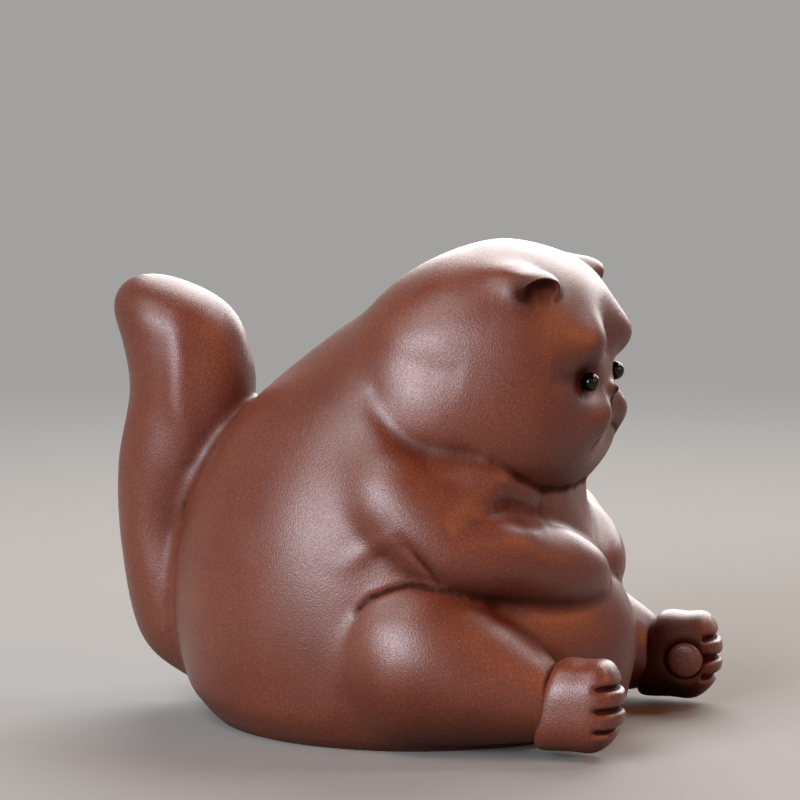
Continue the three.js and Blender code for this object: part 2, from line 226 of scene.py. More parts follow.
# Where a thumb presses the body, each written for the left side: spot, reach, way and depth
ARM_ROLL = (17.3, -16, 32.2), (4.5, 4.5, 3.6), (0.77, -0.6, 0), 1.8
FOREARM_DIP = (12.8, -23.4, 28.6), 4, (-0.3, 0.6, -0.7), 0.8
TAIL_WAIST = (6.6, 30.2, 24.5), (3, 3, 6), (-1, 0, 0), 0.8
CHEST_DIP = np.array((0, -24, 28.5)), (8, 6, 5.5), 1.1 * BACKWARDS

# Lines over the skin, each written for the left side
NAPE_FURROW = (15.9, 0.5, 50.5), (18.1, -4.2, 49.1), (18.8, -8.3, 48.3), (18.6, -14, 47)
JOWL_FOLD = (
    (18.2, -0.5, 45), (19.4, -3.8, 41.3), (19.8, -7.5, 38.7),
    (18.6, -11.3, 37.6), (16.9, -15.6, 36.7),
)
CHEST_FOLD = (20, -9.5, 36.4), (17.5, -14.4, 35.4), (14.4, -18.7, 33.1), (10.5, -22.2, 31)
OVER_ARM = (
    (22.9, -13.2, 28.3), (21, -15.4, 29.2), (19.2, -17, 29.4),
    (16, -19.8, 29.3), (12.6, -22.6, 28.2),
)
ELBOW = (24.8, -6.8, 28.4), (24.4, -9, 26.1), (23.7, -11.1, 23.6), (22.6, -12.4, 21.6)
FLANK_RIDGE = (24.4, 1.5, 22.8), (23.9, -2.8, 25.6), (24.4, -5.1, 27), (24.7, -8.4, 27.6)
THIGH_FOLD = (
    (24.8, -1.4, 17.4), (24.6, -3.2, 19.6), (23.9, -5.7, 20.8),
    (23, -9, 21.4), (21.8, -13.6, 20.3),
)
CHIN_FOLD = (
    (17.4, -14.6, 36.9), (15.2, -17.8, 35.2), (11.7, -20.6, 33),
    (7.3, -23.3, 32.1), (0, -24.7, 31.9), (-4, -24.4, 32),
)
TAIL_KEEL = (
    (5.9, 28.8, 54), (7.6, 27.9, 48.2), (7.6, 27.9, 41.4),
    (7.4, 27.2, 38.4), (6.7, 26.4, 33),
)
EYE_CORNER = (8, -26.5, 46), (10.6, -25.8, 46.6), (14.2, -23.8, 47.3)

# Spots and lines on the front of the face, each an x on the left side and a height
BROW = (7.5, 51)
MUZZLE_PAD = (4.8, 40.6)
NOSE = (0, 44.3)
BROW_GROOVE = (0, 54), (0, 52.5), (0, 51), (0, 48)
LIP_GROOVE = (0, 43.6), (0, 41.5), (0, 39)
MOUTH = (0.1, 40), (2.5, 39.1), (5, 38), (7.4, 36.4)

# How the skin is cut apart
EASE_HEIGHT = 1.6  # the bottom edge is eased over this height
EASE = 0.022
CUT_ROOM = 1.2  # a joint is cut this far outside the form that it frees
CORE_DEPTH = 2.0  # and this far under the skin that it sits on
CRUMB = 500  # a crumb has fewer points than this
JOINT_REACH = 0.08  # a point this near to the whole skin takes its shading

# Painted shade, which also stands for tea, round the beads and in the ears; the nose is darkened
# too. More painted shade lies underneath and on the soles.
DARKENED_SPOTS = both_sides(((8.6, -26.6, 45.8), 2), ((14.8, -20.8, 57.4), 2.4))
DARKENED_SPOTS += [((0, -29, 44.4), (1, 4, 0.7))]
SPOT_SHADE = 0.5
UNDERSIDE_SHADE = 0.4
SOLE_SHADE = 0.35

# The camera stands at the cat's right, a little before it and above it
CAMERA_TURN = math.radians(17)
CAMERA_PITCH = math.radians(7)
CAMERA_DISTANCE = 450 * MM
SENSOR_WIDTH = 36
IMAGE_PIXELS = 800
FOCAL_PIXELS = 3420
ORIGIN_BELOW_CENTRE = 315  # pixels
NEAREST_SEEN = 10 * MM

# The studio, in metres and watts
FLOOR_RADIUS = 0.7
WALL_HEIGHT = 1.2
WALL_CURVE = 0.5
WALL_STEPS = 12
PAPER_EVEN = (0.1, 0.4)  # the paper turns even in tone between these distances from the cat
LIGHT_AIM = Vector((0, 0, 30 * MM))
LIGHTS = (  # name, degrees round and up, distance, size, power and colour
    ("softbox_behind", 2, 33, 0.9, (0.8, 1.1), 14.5, "#ffffff"),
    ("key_left", 148, 52, 0.8, (0.45, 0.45), 2.4, "#ffffff"),
    ("strip_left", 160, 15, 0.8, (0.46, 0.36), 7, "#eef3ff"),
    ("window_right", -57, 48, 0.8, (0.2, 0.2), 1.2, "#ffffff"),
    ("warm_card_right", -100, 24, 0.8, (0.6, 0.36), 2, "#ff8f3c"),
)


def unit(vectors):
    return vectors / np.linalg.norm(vectors, axis=-1, keepdims=True)


def read_points(piece):
    points = np.empty(3 * len(piece.data.vertices), np.float32)
    piece.data.vertices.foreach_get("co", points)
    return points.reshape(-1, 3).astype(float)


def read_normals(piece):
    normals = np.empty(3 * len(piece.data.vertices), np.float32)
    piece.data.vertex_normals.foreach_get("vector", normals)
    return normals.reshape(-1, 3).astype(float)


def write_points(piece, points):
    piece.data.vertices.foreach_set("co", points.astype(np.float32).ravel())
    piece.data.update()


def piece_of(name, shape):
    """A new object in the scene from a bmesh, which is used up."""
    mesh = bpy.data.meshes.new(name)
    shape.to_mesh(mesh)
    shape.free()
    piece = bpy.data.objects.new(name, mesh)
    bpy.context.collection.objects.link(piece)
    return piece


def discard(*pieces):
    for piece in pieces:
        bpy.data.meshes.remove(piece.data)


def work(piece, kind, **settings):
    """Works a modifier into the piece's own mesh."""
    modifier = piece.modifiers.new(kind.lower(), kind)
    for name, value in settings.items():
        setattr(modifier, name, value)
    graph = bpy.context.evaluated_depsgraph_get()
    worked = bpy.data.meshes.new_from_object(piece.evaluated_get(graph))
    piece.modifiers.clear()
    before, piece.data = piece.data, worked
    bpy.data.meshes.remove(before)
    worked.name = piece.name


def cut(piece, cutter, operation="DIFFERENCE"):
    work(piece, "BOOLEAN", object=cutter, operation=operation, solver="MANIFOLD")


def joined(name, forms):
    shape = bmesh.new()
    for form in forms:
        shape.from_mesh(form.data)
    return piece_of(name, shape)


def copied(piece, name):
    return joined(name, [piece])


def grown(piece, name, gap):
    """A copy of the form with its skin moved out by the gap."""
    larger = copied(piece, name)
    write_points(larger, read_points(larger) + gap * read_normals(larger))
    return larger


def shade(piece):
    """Smooth shading that stays crisp over sharp edges."""
    piece.data.shade_smooth()
    piece.data.set_sharp_from_angle(angle=SMOOTH_EDGE)


def curve(points, share):
    """Points of a smooth curve through the given ones, at shares of the way along it."""
    points = np.asarray(points, float)
    padded = np.vstack([2 * points[0] - points[1], points, 2 * points[-1] - points[-2]])
    place = np.clip(share, 0, 1) * (len(points) - 1)
    index = np.minimum(place.astype(int), len(points) - 2)
    step = (place - index)[:, None]
    before, start, end, after = (padded[index + k] for k in range(4))
    leave = (end - before) / 2
    arrive = (after - start) / 2
    cubic = 2 * start - 2 * end + leave + arrive
    square = 3 * end - 3 * start - 2 * leave - arrive
    return ((cubic * step + square) * step + leave) * step + start


def fullness(ball, squareness):
    """How much further out than a circle a squared ring lies, towards each point of a ball."""
    flat = ball[:, :2] / np.maximum(np.linalg.norm(ball[:, :2], axis=1, keepdims=True), 1e-6)
    corner = np.maximum((np.abs(flat) ** squareness).sum(1, keepdims=True), 0.5)
    return corner ** (-1 / squareness)


def sculpt(name, stations, side, axis=None, squareness=2, slices=96, stacks=72):
    """A soft form strung on a spine. Each station is a point of it and the form's half sizes there.

    The first and the last station are the poles, where the form closes with a rounded end. The
    rings stand square to the spine, or to a fixed axis, and side gives the way in which the first
    half size is laid off. A squareness of 2 makes the rings ellipses, and more than 2 fills out
    their corners.
    """
    shape = bmesh.new()
    bmesh.ops.create_uvsphere(shape, u_segments=slices, v_segments=stacks, radius=1)
    form = piece_of(name, shape)
    ball = read_points(form)
    stations = np.asarray(stations, float)
    spine, girth = stations[:, :3], stations[:, 3:].copy()
    shares = np.linspace(0, 1, len(stations))[1:-1]
    girth[1:-1] /= np.sqrt(1 - (2 * shares - 1) ** 2)[:, None]
    girth[0], girth[-1] = girth[1], girth[-2]
    share = (1 + ball[:, 2]) / 2
    middle = curve(spine, share)
    size = curve(girth, share) * fullness(ball, squareness)
    if axis is None:
        nearby = 1e-3
        axis = unit(curve(spine, share + nearby) - curve(spine, share - nearby))
    axis = np.broadcast_to(axis, middle.shape)
    across = np.broadcast_to(side(middle), middle.shape)
    across = unit(across - axis * (across * axis).sum(1, keepdims=True))
    through = np.cross(axis, across)
    out = across * ball[:, :1] * size[:, :1]
    write_points(form, middle + out + through * ball[:, 1:2] * size[:, 1:])
    return form


def sideways(middle):
    return SIDEWAYS


def upwards(middle):
    return UPWARDS


def outwards(middle):
    return middle * (1, 1, 0)


def fade(points, at, reach):
    """How strongly a thumb that presses at a point is felt: fully there, fading over the reach."""
    return np.exp(-(((points - at) / reach) ** 2).sum(1))[:, None]


def dab(piece, *marks):
    """Pushes the skin at each mark, which is a point, a reach and a push."""
    points = read_points(piece)
    for at, reach, push in marks:
        points += fade(points, at, reach) * push
    write_points(piece, points)


def skin_tree(piece):
    faces = [tuple(face.vertices) for face in piece.data.polygons]
    return BVHTree.FromPolygons([vertex.co for vertex in piece.data.vertices], faces)


def on_skin(tree, start, direction, lift=0.0):
    """Where a line from inside a form leaves its skin, moved on along the line by lift."""
    direction = unit(np.asarray(direction, float))
    hit = tree.ray_cast(Vector(start), Vector(direction))[0]
    return np.array(hit) + lift * direction


def torso_form(name, inset=0.0):
    """A fat pear whose top leans forward into the head. An inset draws it inside its wall."""
    shares = (  # height, lean, width, depth
        (-0.3, 0, 0, 0),
        (0, -0.01, 0.87, 0.85),
        (0.1, 0.025, 0.97, 0.955),
        (0.24, 0.05, 1, 0.98),
        (0.4, 0.075, 0.98, 0.925),
        (0.55, 0.035, 0.92, 0.87),
        (0.7, -0.035, 0.8, 0.73),
        (0.86, -0.17, 0.6, 0.49),
        (1, -0.31, 0, 0),
    )
    stations = [
        [
            0,
            lean * TORSO_HALF_DEPTH,
            height * TORSO_HEIGHT,
            width * TORSO_HALF_WIDTH - inset,
            depth * TORSO_HALF_DEPTH - inset,
        ]
        for height, lean, width, depth in shares
    ]
    stations[-1][2] -= inset
    return sculpt(name, stations, sideways, UPWARDS, slices=160, stacks=120)


def body_form():
    torso = torso_form("torso_form")
    belly = on_skin(skin_tree(torso), (0, 0, 0.21 * TORSO_HEIGHT), FORWARDS)
    dab(torso, (belly, 0.5 * TORSO_HALF_DEPTH, BELLY_SWELL * FORWARDS))
    return torso


def head_form():
    """Broad and round, with a flat face at the front pole."""
    shares = (  # length, rise, width, height
        (-1, -0.1, 0, 0),
        (-0.92, -0.08, 0.6, 0.7),
        (-0.66, -0.05, 0.87, 0.925),
        (-0.14, 0, 1, 1),
        (0.37, -0.09, 1, 0.9),
        (0.72, -0.12, 0.8, 0.62),
        (1, -0.2, 0, 0),
    )
    stations = [
        (
            0,
            HEAD_MIDDLE[1] + along * HEAD_HALF_LENGTH,
            HEAD_MIDDLE[2] + rise * HEAD_HALF_HEIGHT,
            width * HEAD_HALF_WIDTH,
            height * HEAD_HALF_HEIGHT,
        )
        for along, rise, width, height in shares
    ]
    head = sculpt(
        "head_form", stations, sideways, BACKWARDS, HEAD_SQUARENESS, slices=160, stacks=120
    )
    tree = skin_tree(head)

    def mark(x, rise, reach, swell):
        at = on_skin(tree, (x, HEAD_MIDDLE[1], HEAD_MIDDLE[2] + rise), FORWARDS)
        return at, reach, swell * FORWARDS

    brow_rise = 0.22 * HEAD_HALF_HEIGHT
    muzzle_rise = -0.3 * HEAD_HALF_HEIGHT
    chin = on_skin(tree, HEAD_MIDDLE, (0, -0.7, -1))
    marks = [
        mark(0, brow_rise, 0.7 * BROW_REACH, -0.3 * BROW_SWELL),
        (chin, CHIN_REACH, np.array((0, CHIN_TUCK, -CHIN_SAG))),
    ]
    for hand in HANDS.values():
        jowl = on_skin(tree, HEAD_MIDDLE, (hand, -0.75, -1))
        nape = on_skin(tree, HEAD_MIDDLE, (hand, 0.1, -0.55))
        nape_push = np.array((hand * NAPE_ROLL_SWELL, 0, -NAPE_ROLL_SAG))
        marks += [
            (jowl, JOWL_REACH, np.array((hand * JOWL_SWELL, 0, -JOWL_SAG))),
            (nape, NAPE_ROLL_REACH, nape_push),
            mark(hand * EYE_SPACING / 2, brow_rise, BROW_REACH, BROW_SWELL),
            mark(hand * EYE_SPACING / 2, -EYE_DROP, EYE_HOLLOW_REACH, -EYE_HOLLOW),
            mark(hand * MUZZLE_SPACING / 2, muzzle_rise, MUZZLE_REACH, MUZZLE_SWELL),
        ]
    dab(head, *marks)
    return head


def ear_ends(hand, head_tree):
    """The front and the rear of the peak that an ear makes along the corner of the crown."""
    size = np.array((hand * HEAD_HALF_WIDTH, -HEAD_HALF_LENGTH, HEAD_HALF_HEIGHT))
    front = on_skin(head_tree, HEAD_MIDDLE, size * (0.63, 0.6, 0.62), 0.25 * EAR_HEIGHT)
    rear = on_skin(head_tree, HEAD_MIDDLE, size * (0.38, 0.1, 0.85), -0.4 * EAR_HEIGHT)
    return front, rear


def ear_form(name, hand, head_tree):
    """A low peak that runs forward along the crown's corner and stands clear of it at the front."""
    front, rear = ear_ends(hand, head_tree)
    edge = np.cross(UPWARDS, rear - front)
    shares = (  # way back, width, height
        (-0.2, 0, 0),
        (0, 0.95, 0.95),
        (0.25, 1, 1),
        (0.6, 0.85, 0.85),
        (1, 0, 0),
    )
    stations = [
        (*(front + share * (rear - front)), width * EAR_WIDTH / 2, height * EAR_HEIGHT / 2)
        for share, width, height in shares
    ]
    return sculpt(name, stations, lambda middle: edge)


def ear_scoop(hand, head_tree):
    """The hollow that is scooped out under an ear's outer side, and out of the head below it."""
    front, _ = ear_ends(hand, head_tree)
    facing = unit(np.array((hand * 0.7, -0.7, -0.15)))
    edge = unit(np.cross(facing, UPWARDS))
    rise = np.cross(edge, facing)
    shape = bmesh.new()
    bmesh.ops.create_uvsphere(shape, u_segments=48, v_segments=32, radius=1)
    scoop = piece_of("ear_scoop", shape)
    size = (0.5 * EAR_WIDTH, EAR_SCOOP, 0.56 * EAR_HEIGHT)
    across, out, up = (read_points(scoop) * size).T[:, :, None]
    middle = front + 0.36 * EAR_WIDTH * facing - 0.12 * EAR_HEIGHT * rise
    write_points(scoop, middle + across * edge + out * facing + up * rise)
    return scoop


def arm_form(name, hand, torso_tree):
    """Hangs from the flank and lies across the belly, with its paw at the middle."""
    shares = (  # height, degrees round from the side to the front, sink, radius
        (SHOULDER_HEIGHT + SHOULDER_RADIUS, 0, 0.9, SHOULDER_RADIUS),
        (SHOULDER_HEIGHT, 11, 0.7, SHOULDER_RADIUS),
        (ELBOW_HEIGHT, 32, 0.35, FOREARM_RADIUS),
        (0.7 * ELBOW_HEIGHT + 0.3 * PAW_HEIGHT, 53, 0.25, FOREARM_RADIUS),
        (PAW_HEIGHT, 78, 0.5, PAW_RADIUS),
        (PAW_HEIGHT, 94, 0.5, PAW_RADIUS),
    )
    stations = []
    for height, degrees, sink, radius in shares:
        turn = math.radians(degrees)
        towards = (hand * math.cos(turn), -math.sin(turn), 0)
        spot = on_skin(torso_tree, (0, 0, height), towards, -sink * radius)
        stations.append((*spot, 0.92 * radius, radius))
    return sculpt(name, stations, outwards)


def leg_form(name, hand, reach, torso_tree):
    """Lies forward along the ground from the hip to the ankle."""
    flank = on_skin(torso_tree, (0, 0, THIGH_RADIUS), (hand, 0, 0))
    thigh_x = flank[0] - hand * 0.7 * THIGH_RADIUS
    ankle_x = hand * FEET_SPACING / 2
    ankle_height = FOOT_LIFT + FOOT_HEIGHT / 2
    shares = (  # way forward, rise, height, thickness
        (-0.22, 1, 0, 0),
        (0.24, 1.1, 1.12, 0.94),
        (0.68, 0.83, 0.8, 0.8),
    )
    thigh = [
        (
            thigh_x,
            -forward * reach,
            rise * THIGH_RADIUS,
            height * THIGH_RADIUS,
            thickness * THIGH_RADIUS,
        )
        for forward, rise, height, thickness in shares
    ]
    stations = thigh + [
        (ankle_x, -reach, ankle_height, ANKLE_RADIUS, ANKLE_RADIUS),
        (ankle_x, -reach - 0.4 * ANKLE_RADIUS, ankle_height, 0, 0),
    ]
    return sculpt(name, stations, upwards)


def tail_form(torso_tree):
    """A thick plume that rises behind the back and leans on it at its fattest."""
    rump = on_skin(torso_tree, (0, 0, 0.25 * TORSO_HEIGHT), BACKWARDS)
    shares = (  # height, distance out from the rump, girth
        (0.04, -0.2, 0),
        (0.15, 0.02, 0.64),
        (0.37, 0.1, 0.8),
        (0.56, 0.05, 0.93),
        (0.73, -0.07, 0.97),
        (0.84, -0.02, 0.97),
        (0.93, 0.1, 0.88),
        (1, 0.26, 0),
    )
    stations = [
        (
            0,
            rump[1] + out * TAIL_THICKNESS,
            height * TAIL_HEIGHT,
            girth * TAIL_WIDTH / 2,
            girth * TAIL_THICKNESS / 2,
        )
        for height, out, girth in shares
    ]
    return sculpt("tail_form", stations, sideways, UPWARDS)


def neighbour_mean(piece):
    """A function that gives, for a value at every point, its mean over each point's neighbours."""
    count = len(piece.data.vertices)
    ends = np.empty(2 * len(piece.data.edges), np.int32)
    piece.data.edges.foreach_get("vertices", ends)
    one, other = ends.reshape(-1, 2).T
    shares = 1 / np.bincount(ends, minlength=count)

    def mean(value):
        total = np.bincount(one, value[other], count) + np.bincount(other, value[one], count)
        return shares * total

    return mean


def smooth(piece, weight, rounds):
    """Eases each point towards its neighbours, by its weight, for so many rounds."""
    mean = neighbour_mean(piece)
    points = read_points(piece)
    pull = np.broadcast_to(0.5 * weight, len(points))[:, None]
    for _ in range(rounds):
        points += pull * (np.transpose([mean(axis) for axis in points.T]) - points)
    write_points(piece, points)


def hollowness(piece, rounds):
    """How hollow the skin is at each point, for each millimetre, evened out over so many rounds.

    It is above 0 in a crease and below 0 on a ridge.
    """
    mean = neighbour_mean(piece)
    points = read_points(piece)
    around = np.transpose([mean(axis) for axis in points.T])
    spread = sum(mean(axis ** 2) - 2 * axis * mean(axis) + axis ** 2 for axis in points.T)
    hollow = 2 * ((around - points) * read_normals(piece)).sum(1) / np.maximum(spread, 1e-6)
    for _ in range(rounds):
        hollow = mean(hollow)
    return hollow


def near(points, *places):
    """How near each point is to the nearest place, a spot and a reach: 1 at it, 0 far away."""
    weight = np.zeros(len(points))
    for at, reach in places:
        weight = np.maximum(weight, fade(points, np.array(at), reach)[:, 0])
    return weight


def blend_skin():
    """Wipes the joints smooth, evens the whole skin, and fills its creases with slip."""
    points = read_points(skin)
    smooth(skin, near(points, *WIPED) * (1 - near(points, *KEPT)), rounds=190)
    smooth(skin, 1, rounds=5)
    smooth(skin, np.clip(hollowness(skin, rounds=6) / FILLED_CREASE, 0, 1), rounds=25)
    tail_fold = np.clip(hollowness(skin, rounds=25) / TAIL_CREASE, 0, 1)
    smooth(skin, tail_fold * (points[:, 1] > TAIL_SIDE), rounds=120)


def deepen_creases():
    """Draws a tool along every crease of the skin, and deepest where it is narrowest."""
    press = CREASE_DEPTH * np.clip(hollowness(skin, rounds=10) / TOOLED_CREASE, 0, 1)
    write_points(skin, read_points(skin) - press[:, None] * read_normals(skin))
    smooth(skin, 1, rounds=3)


def refine(piece, chosen):
    """Gives the piece a finer mesh where it is chosen, for the small marks there."""
    shape = bmesh.new()
    shape.from_mesh(piece.data)
    shape.verts.ensure_lookup_table()
    edges = {edge for index in np.flatnonzero(chosen) for edge in shape.verts[index].link_edges}
    bmesh.ops.subdivide_edges(shape, edges=list(edges), cuts=1, use_grid_fill=True)
    shape.to_mesh(piece.data)
    shape.free()


def on_face(points, margin=0.0):
    _, y, z = points.T
    return (y < FACE_DEPTH + margin) & (z > FACE_BOTTOM - margin) & (z < FACE_TOP + margin)


def refine_skin():
    """A finer mesh for the face, the ears and the narrow folds."""
    points = read_points(skin)
    refine(skin, on_face(points) | (near(points, *FOLDS) > FOLD_FINE))
    points = read_points(skin)
    eased = on_face(points, FACE_MARGIN) | (near(points, *FOLDS) > FOLD_EASED)
    smooth(skin, eased.astype(float), rounds=4)


def front_line(tree, spots, hand=1):
    """Spots on the front of the skin, on one side of the cat, each given by its x and height."""
    return [tree.ray_cast(Vector((hand * x, -FAR, z)), Vector(BACKWARDS))[0] for x, z in spots]


def stroke(points, normals, tree, spots, width, depth):
    """Draws a tool over the skin along a line, in by the depth, and running out at both ends.

    A depth below 0 draws the clay up into a ridge.
    """
    share = np.linspace(0, 1, TOOL_STEPS)
    line = np.array([tree.find_nearest(Vector(spot))[0] for spot in curve(spots, share)])
    pressure = depth * np.sin(math.pi * share) ** 0.8
    low, high = line.min(0) - 3 * width, line.max(0) + 3 * width
    inside = np.flatnonzero(((points > low) & (points < high)).all(1))
    distance = np.linalg.norm(points[inside, None] - line[None], axis=2)
    press = pressure[distance.argmin(1)] * np.exp(-((distance.min(1) / width) ** 2))
    return inside, -press[:, None] * normals[inside]


def draw(piece, strokes):
    """Draws all the strokes, each a line, a width and a depth, on the skin as it was before."""
    tree = skin_tree(piece)
    points = read_points(piece)
    normals = read_normals(piece)
    for inside, move in [stroke(points, normals, tree, *each) for each in strokes]:
        points[inside] += move
    write_points(piece, points)


def along_fold(piece, spots):
    """The line of the deepest fold within a millimetre of a line of spots."""
    hollow = hollowness(piece, rounds=3)
    points = read_points(piece)
    line = curve(spots, np.linspace(0, 1, TOOL_STEPS))
    distance = np.linalg.norm(line[:, None] - points[None], axis=2)
    line = points[(hollow[None] - distance ** 2).argmax(1)]
    for _ in range(8):
        line[1:-1] = (line[:-2] + line[1:-1] + line[2:]) / 3
    return line


def work_body():
    """The soft rolls and folds of the body and the keel of the tail."""
    for hand in HANDS.values():
        side = np.array((hand, 1, 1))
        marks = [
            (side * at, reach, depth * (side * way))
            for at, reach, way, depth in (ARM_ROLL, FOREARM_DIP, TAIL_WAIST)
        ]
        dab(skin, *marks)
    dab(skin, CHEST_DIP)
    lines = (  # line, width, depth
        (NAPE_FURROW, 2.6, 0.4),
        (JOWL_FOLD, 1.4, 0.55),
        (CHEST_FOLD, 1.6, -0.6),
        (OVER_ARM, 1.9, 1),
        (FLANK_RIDGE, 1.2, -0.2),
        (TAIL_KEEL, 1.8, -0.5),
    )
    draw(skin, [(spots, width, depth) for line, width, depth in lines for spots in mirrored(line)])


def work_folds():
    """The narrow folds, drawn with the edge of a tool."""
    strokes = [(spots, 0.8, 0.35) for spots in mirrored(ELBOW)]
    for line, width, depth in ((THIGH_FOLD, 0.5, 0.35), (CHIN_FOLD, 0.9, 0.3)):
        strokes += [(along_fold(skin, spots), width, depth) for spots in mirrored(line)]
    draw(skin, strokes)


def work_face():
    """The nose, the muzzle's pads, and the marks between the brows, at the eyes and the mouth."""
    tree = skin_tree(skin)
    for hand in HANDS.values():
        brow, pad = np.array(front_line(tree, (BROW, MUZZLE_PAD), hand))
        brow_push = np.array((hand * 0.6, -0.5, -0.1))
        dab(skin, (brow, (4, 4, 3.2), brow_push), (pad, (3.4, 3, 3), 0.6 * FORWARDS))
    (nose,) = np.array(front_line(tree, (NOSE,)))
    dab(skin, (nose, (1.3, 1.5, 0.9), 1.1 * FORWARDS))
    tree = skin_tree(skin)
    strokes = [
        (front_line(tree, BROW_GROOVE), 1.3, 0.25),
        (front_line(tree, LIP_GROOVE), 0.45, 0.35),
    ]
    strokes += [(front_line(tree, MOUTH, hand), 0.6, 0.2) for hand in HANDS.values()]
    strokes += [(spots, 1.8, 0.6) for spots in mirrored(EYE_CORNER)]
    draw(skin, strokes)


def ease_bottom():
    """Draws the skin in a little where it meets the ground, as a wet edge settles."""
    points = read_points(skin)
    low = np.clip(1 - points[:, 2] / EASE_HEIGHT, 0, 1) ** 2
    points[:, :2] *= 1 - EASE * low[:, None]
    write_points(skin, points)


def foot_middle(hand, reach):
    return np.array(
        (hand * FEET_SPACING / 2, -reach - FOOT_LENGTH / 2, FOOT_LIFT + FOOT_HEIGHT / 2)
    )


def foot_form(name, hand, middle):
    """A mitten on the ankle with its sole turned inwards, notched at the front into toes."""
    half_height, half_thickness = FOOT_HEIGHT / 2, FOOT_THICKNESS / 2
    tip = 0.5 + TOE_LENGTH / FOOT_LENGTH
    shares = (  # way forward, height, thickness
        (-0.5, 0, 0),
        (-0.43, 0.97, 0.95),
        (0, 1, 1),
        (0.36, 0.98, 0.9),
        (tip, 0, 0),
    )
    stations = [
        (0, -forward * FOOT_LENGTH, 0, height * half_height, thickness * half_thickness)
        for forward, height, thickness in shares
    ]
    foot = sculpt(name, stations, upwards, squareness=FOOT_SQUARENESS)
    points = read_points(foot)
    behind = np.clip(0.5 + points[:, 1] / FOOT_LENGTH, 0, 1)
    points[:, 1] -= FOOT_SLANT * points[:, 2] * behind
    points[:, 1] += LOW_TOE_TUCK * np.clip(-points[:, 2] / half_height, 0, 1) ** 2 * (1 - behind)
    write_points(foot, points)
    work(foot, "REMESH", mode="VOXEL", voxel_size=FOOT_GRAIN, use_smooth_shade=True)
    smooth(foot, 1, rounds=8)
    strokes = []
    for notch in range(1, TOE_COUNT):
        rise = (notch / TOE_COUNT - 0.5) * FOOT_HEIGHT
        side = hand * half_thickness
        back = [(side, -2.2, rise), (0.8 * side, -3.6, rise)]
        sole = [(-0.8 * side, -4.4, rise), (-side, -3.9, rise)]
        line = back + [(0, -tip * FOOT_LENGTH, rise)] + sole
        strokes.append((line, TOE_NOTCH_WIDTH, TOE_NOTCH_DEPTH))
    draw(foot, strokes)
    points = read_points(foot)
    from_pad = np.hypot(points[:, 1] + SOLE_PAD_FORWARD, points[:, 2]) - SOLE_PAD_RADIUS
    ring = np.exp(-((from_pad / PAD_RING_WIDTH) ** 2)) * (hand * points[:, 0] < 0)
    write_points(foot, points - PAD_RING_DEPTH * ring[:, None] * read_normals(foot))
    smooth(foot, 1, rounds=2)
    write_points(foot, read_points(foot) + middle)
    return foot


def block(name, low, high):
    shape = bmesh.new()
    bmesh.ops.create_cube(shape, size=1)
    low, high = Vector(low), Vector(high)
    bmesh.ops.scale(shape, verts=shape.verts, vec=high - low)
    bmesh.ops.translate(shape, verts=shape.verts, vec=(low + high) / 2)
    return piece_of(name, shape)


def turn_round(shape, rim, ends, steps):
    """Turns a rim, a line of vertices that each go on to one of the ends, once round the axis."""
    edges = [shape.edges.new(pair) for pair in zip(rim, ends)]
    bmesh.ops.spin(
        shape,
        geom=rim + edges,
        cent=(0, 0, 0),
        axis=(0, 0, 1),
        angle=2 * math.pi,
        steps=steps,
        use_merge=True,
    )


def lathe(name, profile, middle, axis):
    """A round body turned about an axis through its middle, from distances along it and radii."""
    shape = bmesh.new()
    rim = [shape.verts.new((radius, 0, along)) for along, radius in profile]
    turn_round(shape, rim, rim[1:], steps=64)
    bmesh.ops.remove_doubles(shape, verts=shape.verts, dist=1e-4)
    bmesh.ops.recalc_face_normals(shape, faces=shape.faces)
    turn = Vector(axis).to_track_quat("Z", "Y").to_matrix().to_4x4()
    shape.transform(Matrix.Translation(Vector(middle)) @ turn)
    piece = piece_of(name, shape)
    shade(piece)
    return piece


def bead(name, middle, radius):
    """A glass bead: round to the front, with a flat ground back and a narrow bevel round it."""
    turns = np.radians(np.linspace(0, BEAD_ROUND, BEAD_STEPS))
    profile = [(radius * math.cos(turn), radius * math.sin(turn)) for turn in turns]
    back, rim = profile[-1]
    flat = back - BEAD_BEVEL * radius
    profile += [(flat, BEAD_FLAT * rim), (flat, 0)]
    return lathe(name, profile, middle, FORWARDS)


def sole_pad(name, hand, middle, clearance=0.0):
    """A low button in the sole, with a domed face, a soft rim and a flat back."""
    sole = middle + (-hand * FOOT_THICKNESS / 2, -SOLE_PAD_FORWARD, 0)
    radius = SOLE_PAD_RADIUS + clearance
    back = -SOLE_PAD_DEPTH - clearance
    profile = [
        (SOLE_PAD_RISE * (1 - 0.55 * share ** 4), share * radius)
        for share in np.linspace(0, 0.86, 12)
    ]
    profile += [
        (0.3 * SOLE_PAD_RISE, 0.95 * radius),
        (0, radius),
        (-0.8 * SOLE_PAD_DEPTH - clearance, radius),
        (back, 0.92 * radius),
        (back, 0),
    ]
    return lathe(name, profile, sole, (-hand, 0, 0))


